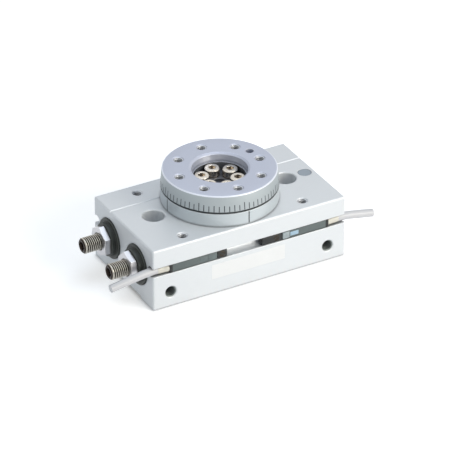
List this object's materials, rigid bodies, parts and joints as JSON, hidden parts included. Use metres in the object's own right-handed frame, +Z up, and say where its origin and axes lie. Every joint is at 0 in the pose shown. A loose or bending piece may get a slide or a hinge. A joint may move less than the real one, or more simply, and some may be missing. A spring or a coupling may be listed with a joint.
{
  "type": "pneumatic rotary table",
  "caption": "Compact air-driven rotary table: block body with rack pistons, drilled round table, adjusting bolts with lock nuts, and sensors in a side groove.",
  "frame": {"origin": "on the table's axis, in the plane of the base", "axes": "+Z up along the table's axis, +X along the body away from the adjusting bolts, -Y the side with the air ports"},
  "size_m": [0.1055, 0.0434, 0.036],
  "materials": {
    "body_aluminium": "clear anodised, fine satin",
    "table_aluminium": "turned and clear anodised",
    "black_metal": "black coated, satin",
    "nickel_steel": "nickel plated steel",
    "screw_steel": "bright cap screws",
    "bearing_steel": "ground steel",
    "piston_steel": "ground steel",
    "seal_rubber": "black nitrile rubber",
    "pad_rubber": "brown urethane",
    "wear_plastic": "filled plastic",
    "cage_plastic": "cream polyamide",
    "magnet": "bonded magnet",
    "sensor_plastic": "dark grey moulded",
    "lens_plastic": "pale blue translucent",
    "lead_plastic": "pale grey translucent sheath",
    "brass_screw": "slotted brass"
  },
  "bodies": {
    "housing": {"body": "body_aluminium", "bearing_retainer": "table_aluminium", "retainer_screws": "screw_steel", "passage_plug": "bearing_steel", "upper_bearing_outer_ring": "bearing_steel", "lower_bearing_outer_ring": "bearing_steel", "lower_bearing_snap_ring": "screw_steel", "front_end_cap": "black_metal", "front_end_cap_seal": "seal_rubber", "front_lock_nut": "nickel_steel", "front_bore_plug": "table_aluminium", "front_bore_plug_seal": "seal_rubber", "front_plug_snap_ring": "screw_steel", "rear_end_cap": "black_metal", "rear_end_cap_seal": "seal_rubber", "rear_lock_nut": "nickel_steel", "rear_bore_plug": "table_aluminium", "rear_bore_plug_seal": "seal_rubber", "rear_plug_snap_ring": "screw_steel"},
    "table_assembly": {"table": "table_aluminium", "table_screws": "screw_steel", "pinion_shaft": "piston_steel", "upper_bearing_inner_ring": "bearing_steel", "lower_bearing_inner_ring": "bearing_steel"},
    "upper_ball_set": {"upper_bearing_balls": "bearing_steel", "upper_bearing_cage": "cage_plastic"},
    "lower_ball_set": {"lower_bearing_balls": "bearing_steel", "lower_bearing_cage": "cage_plastic"},
    "front_piston": {"front_rack_piston": "piston_steel", "front_piston_seals": "seal_rubber", "front_piston_magnets": "magnet", "front_wear_rings": "wear_plastic"},
    "front_pad": {"front_cushion_pad": "pad_rubber"},
    "front_bolt": {"front_adjusting_bolt": "nickel_steel"},
    "rear_piston": {"rear_rack_piston": "piston_steel", "rear_piston_seals": "seal_rubber", "rear_piston_magnets": "magnet", "rear_wear_rings": "wear_plastic"},
    "rear_pad": {"rear_cushion_pad": "pad_rubber"},
    "rear_bolt": {"rear_adjusting_bolt": "nickel_steel"},
    "left_sensor_set": {"left_sensor": "sensor_plastic", "left_sensor_screw": "brass_screw", "left_sensor_lens": "lens_plastic", "left_sensor_lead": "lead_plastic"},
    "right_sensor_set": {"right_sensor": "sensor_plastic", "right_sensor_screw": "brass_screw", "right_sensor_lens": "lens_plastic", "right_sensor_lead": "lead_plastic"}
  },
  "joints": [
    {"name": "table_rotation", "type": "hinge", "parent": "housing", "child": "table_assembly", "pos_m": [0, 0, 0], "axis": [0, 0, 1], "range_deg": [-95, 95]},
    {"name": "upper_ball_orbit", "type": "hinge", "parent": "housing", "child": "upper_ball_set", "pos_m": [0, 0, 0], "axis": [0, 0, 1], "range_deg": [-45, 45]},
    {"name": "lower_ball_orbit", "type": "hinge", "parent": "housing", "child": "lower_ball_set", "pos_m": [0, 0, 0], "axis": [0, 0, 1], "range_deg": [-45, 45]},
    {"name": "front_piston_slide", "type": "slide", "parent": "housing", "child": "front_piston", "axis": [1, 0, 0], "range_m": [-0.0083, 0.0083]},
    {"name": "front_stop_travel", "type": "slide", "parent": "housing", "child": "front_pad", "axis": [-1, 0, 0], "range_m": [0, 0.003]},
    {"name": "front_bolt_turn", "type": "hinge", "parent": "front_pad", "child": "front_bolt", "pos_m": [-0.04, -0.01, 0.013], "axis": [-1, 0, 0], "range_deg": [0, 1440]},
    {"name": "rear_piston_slide", "type": "slide", "parent": "housing", "child": "rear_piston", "axis": [1, 0, 0], "range_m": [-0.0083, 0.0083]},
    {"name": "rear_stop_travel", "type": "slide", "parent": "housing", "child": "rear_pad", "axis": [-1, 0, 0], "range_m": [0, 0.003]},
    {"name": "rear_bolt_turn", "type": "hinge", "parent": "rear_pad", "child": "rear_bolt", "pos_m": [-0.04, 0.01, 0.013], "axis": [-1, 0, 0], "range_deg": [0, 1440]},
    {"name": "left_sensor_slide", "type": "slide", "parent": "housing", "child": "left_sensor_set", "axis": [1, 0, 0], "range_m": [-0.006, 0.003]},
    {"name": "right_sensor_slide", "type": "slide", "parent": "housing", "child": "right_sensor_set", "axis": [1, 0, 0], "range_m": [-0.003, 0.006]}
  ],
  "couplings": [
    {"joint": "upper_ball_orbit", "follows": "table_rotation", "ratio": 0.4465},
    {"joint": "lower_ball_orbit", "follows": "table_rotation", "ratio": 0.4318},
    {"joint": "front_piston_slide", "follows": "table_rotation", "m_per_rad": 0.005},
    {"joint": "front_bolt_turn", "follows": "front_stop_travel", "rad_per_m": 8377.6},
    {"joint": "rear_piston_slide", "follows": "table_rotation", "m_per_rad": -0.005},
    {"joint": "rear_bolt_turn", "follows": "rear_stop_travel", "rad_per_m": 8377.6}
  ]
}
